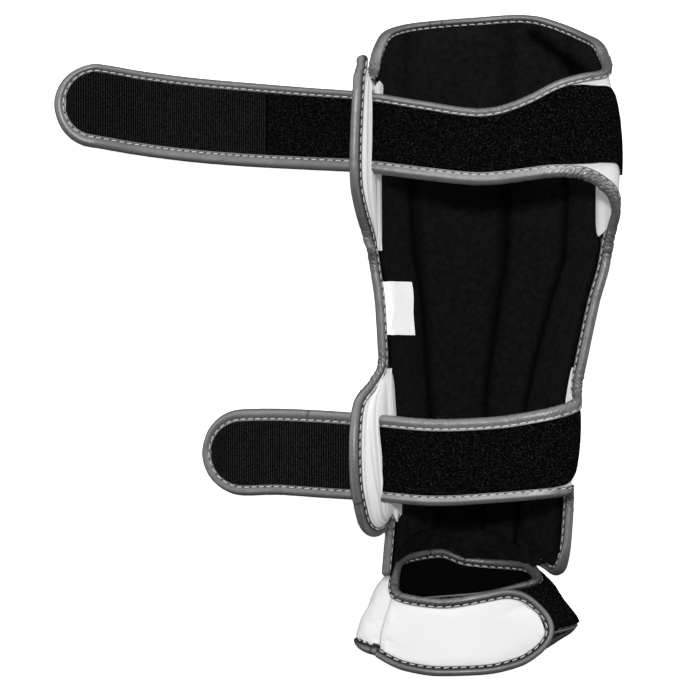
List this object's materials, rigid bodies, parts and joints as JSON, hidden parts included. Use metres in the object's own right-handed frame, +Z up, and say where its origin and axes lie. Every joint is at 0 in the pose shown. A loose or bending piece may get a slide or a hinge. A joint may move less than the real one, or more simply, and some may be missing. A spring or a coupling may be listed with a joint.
{
  "type": "shin and instep protector",
  "caption": "Padded shin trough with an instep sleeve at the ankle end, side wings with slots, hook-and-loop straps across the calf and bound edges.",
  "frame": {"origin": "on the flat of the shin's front that it lies on, under the middle of its length", "axes": "+X to the wearer's right, +Y along the shin to the knee, +Z up from the surface, towards the calf"},
  "size_m": [0.3962, 0.4627, 0.1162],
  "materials": {
    "white_leather": "satin grained synthetic leather",
    "grey_leather": "satin folded binding",
    "black_lining": "matte brushed knit over foam",
    "loop_pile": "matte loop pile",
    "hook_tape": "matte woven hook tape",
    "label_cloth": "matte woven label"
  },
  "bodies": {
    "root": {"shin_shell": "white_leather", "shin_lining": "black_lining", "care_label": "label_cloth", "top_rim_binding": "grey_leather", "left_binding": "grey_leather", "left_ankle_binding": "grey_leather", "right_binding": "grey_leather", "right_ankle_binding": "grey_leather", "left_upper_wing": "white_leather", "left_lower_wing": "white_leather", "ankle_gusset": "black_lining", "instep_shell": "white_leather", "instep_lining": "black_lining", "instep_loop_patch": "loop_pile", "instep_strap": "white_leather", "instep_ankle_binding": "grey_leather", "instep_toe_binding": "grey_leather", "instep_strap_binding": "grey_leather", "right_upper_wing": "white_leather", "upper_strap": "white_leather", "upper_strap_loop": "loop_pile", "upper_strap_hook": "hook_tape", "upper_strap_binding": "grey_leather", "right_lower_wing": "white_leather", "lower_strap": "white_leather", "lower_strap_loop": "loop_pile", "lower_strap_hook": "hook_tape", "lower_strap_binding": "grey_leather"}
  },
  "joints": []
}
